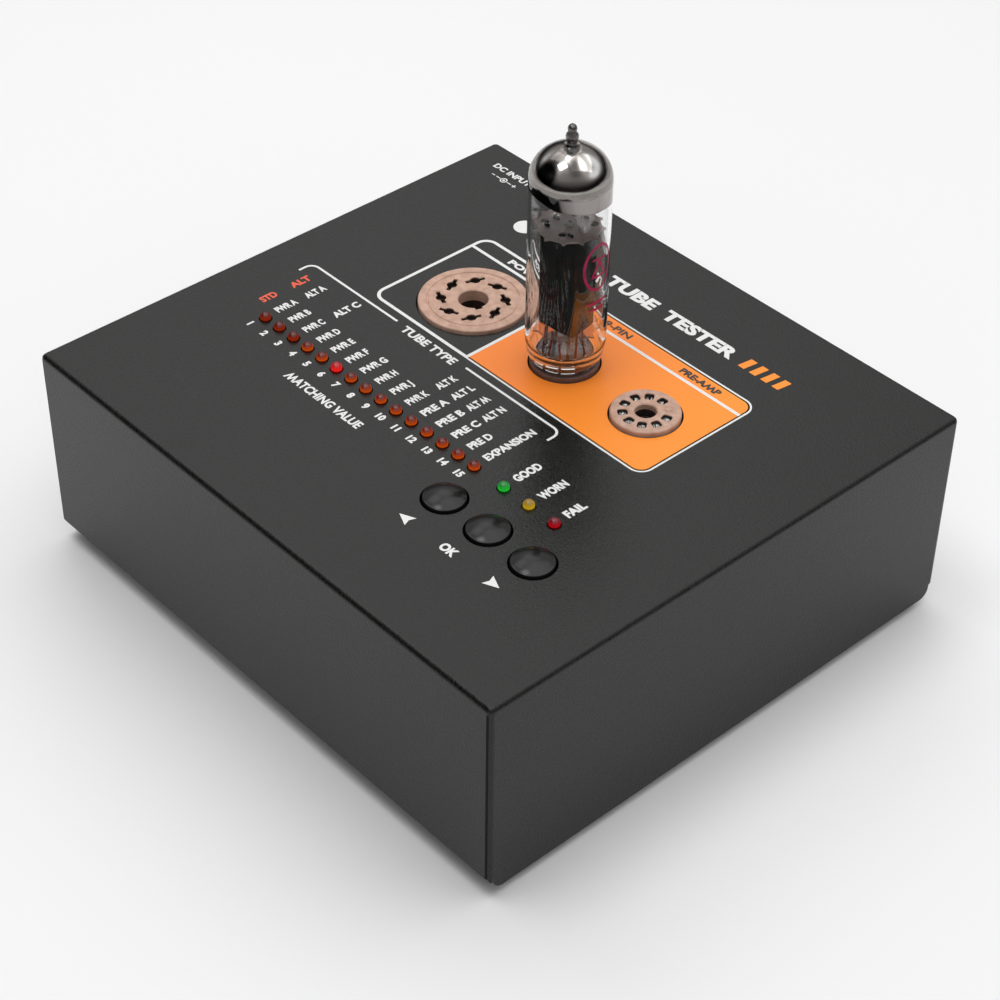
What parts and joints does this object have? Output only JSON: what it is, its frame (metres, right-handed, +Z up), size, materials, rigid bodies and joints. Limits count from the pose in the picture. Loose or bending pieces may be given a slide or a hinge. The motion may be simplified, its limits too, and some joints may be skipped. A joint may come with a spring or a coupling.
{
  "type": "tube tester",
  "caption": "Desktop tube tester: black folded sheet steel box with octal and nine-pin sockets, a row of numbered lamps, domed push buttons and a plugged-in power tube.",
  "frame": {"origin": "centre of the bounding box's bottom, on the surface that the feet stand on", "axes": "+X along the panel lettering, left to right; +Y from the user to the rear panel; +Z up, out of the panel"},
  "size_m": [0.177, 0.1608, 0.1348],
  "materials": {
    "black_powder_coat": "fine textured satin powder coat, charcoal black",
    "tray_powder_coat": "satin powder coat, black",
    "foot_rubber": "matt moulded rubber",
    "zinc_screws": "bright zinc plated steel",
    "bracket_steel": "plain zinc plated steel strip",
    "standoff_brass": "machined brass",
    "board_laminate": "green solder mask on glass fibre laminate",
    "socket_ceramic": "unglazed pinkish beige ceramic",
    "lamp_red": "tinted clear epoxy, red",
    "lamp_red_lit": "tinted clear epoxy, red, lit",
    "lamp_green": "tinted clear epoxy, green",
    "lamp_amber": "tinted clear epoxy, amber",
    "button_cap": "glossy black moulded plastic",
    "switch_housing": "black moulded plastic",
    "jack_plastic": "black moulded plastic",
    "ferrite_core": "dark ferrite and taped winding",
    "capacitor_sleeve": "shrink sleeve over an aluminium can",
    "chip_epoxy": "moulded epoxy",
    "tube_glass": "clear thin glass, silvered inside the dome",
    "tube_pins": "nickel wire pins in a glass button",
    "anode_black": "carbonised black nickel sheet, satin",
    "mica": "split mica sheet, pinkish translucent",
    "nickel_wire": "bright nickel wire",
    "cathode_oxide": "white oxide coating"
  },
  "bodies": {
    "case": {"board_screw_front_left": "zinc_screws", "board_screw_front_right": "zinc_screws", "board_screw_rear_left": "zinc_screws", "board_screw_rear_right": "zinc_screws", "board_standoff_front_left": "standoff_brass", "board_standoff_front_right": "standoff_brass", "board_standoff_rear_left": "standoff_brass", "board_standoff_rear_right": "standoff_brass", "boost_transformer": "ferrite_core", "bottom_tray": "tray_powder_coat", "dc_jack": "jack_plastic", "foot_front_left": "foot_rubber", "foot_front_right": "foot_rubber", "foot_rear_left": "foot_rubber", "foot_rear_right": "foot_rubber", "foot_screw_front_left": "zinc_screws", "foot_screw_front_right": "zinc_screws", "foot_screw_rear_left": "zinc_screws", "foot_screw_rear_right": "zinc_screws", "led_01": "lamp_red", "led_02": "lamp_red", "led_03": "lamp_red", "led_04": "lamp_red", "led_05": "lamp_red", "led_06": "lamp_red_lit", "led_07": "lamp_red", "led_08": "lamp_red", "led_09": "lamp_red", "led_10": "lamp_red", "led_11": "lamp_red", "led_12": "lamp_red", "led_13": "lamp_red", "led_14": "lamp_red", "led_15": "lamp_red", "led_fail": "lamp_red", "led_good": "lamp_green", "led_worn": "lamp_amber", "main_board": "board_laminate", "microcontroller": "chip_epoxy", "noval_socket_power": "socket_ceramic", "noval_socket_preamp": "socket_ceramic", "octal_socket": "socket_ceramic", "reservoir_capacitor": "capacitor_sleeve", "side_bracket_left": "bracket_steel", "side_bracket_right": "bracket_steel", "switch_left": "switch_housing", "switch_ok": "switch_housing", "switch_right": "switch_housing", "top_cover": "black_powder_coat"},
    "tube": {"tube_envelope": "tube_glass", "tube_stem": "tube_pins", "tube_anode": "anode_black", "tube_control_grid": "nickel_wire", "tube_cathode": "cathode_oxide", "tube_upper_mica": "mica", "tube_lower_mica": "mica", "tube_getter": "nickel_wire"},
    "button_left_cap": {"button_left": "button_cap"},
    "button_ok_cap": {"button_ok": "button_cap"},
    "button_right_cap": {"button_right": "button_cap"}
  },
  "joints": [
    {"name": "button_left_press", "type": "slide", "parent": "case", "child": "button_left_cap", "axis": [0, 0, -1], "range_m": [0, 0.001], "stiffness_N_per_m": 800},
    {"name": "button_ok_press", "type": "slide", "parent": "case", "child": "button_ok_cap", "axis": [0, 0, -1], "range_m": [0, 0.001], "stiffness_N_per_m": 800},
    {"name": "button_right_press", "type": "slide", "parent": "case", "child": "button_right_cap", "axis": [0, 0, -1], "range_m": [0, 0.001], "stiffness_N_per_m": 800},
    {"name": "tube_lift_off", "type": "slide", "parent": "case", "child": "tube", "axis": [0, 0, 1], "range_m": [0, 0.09]}
  ]
}
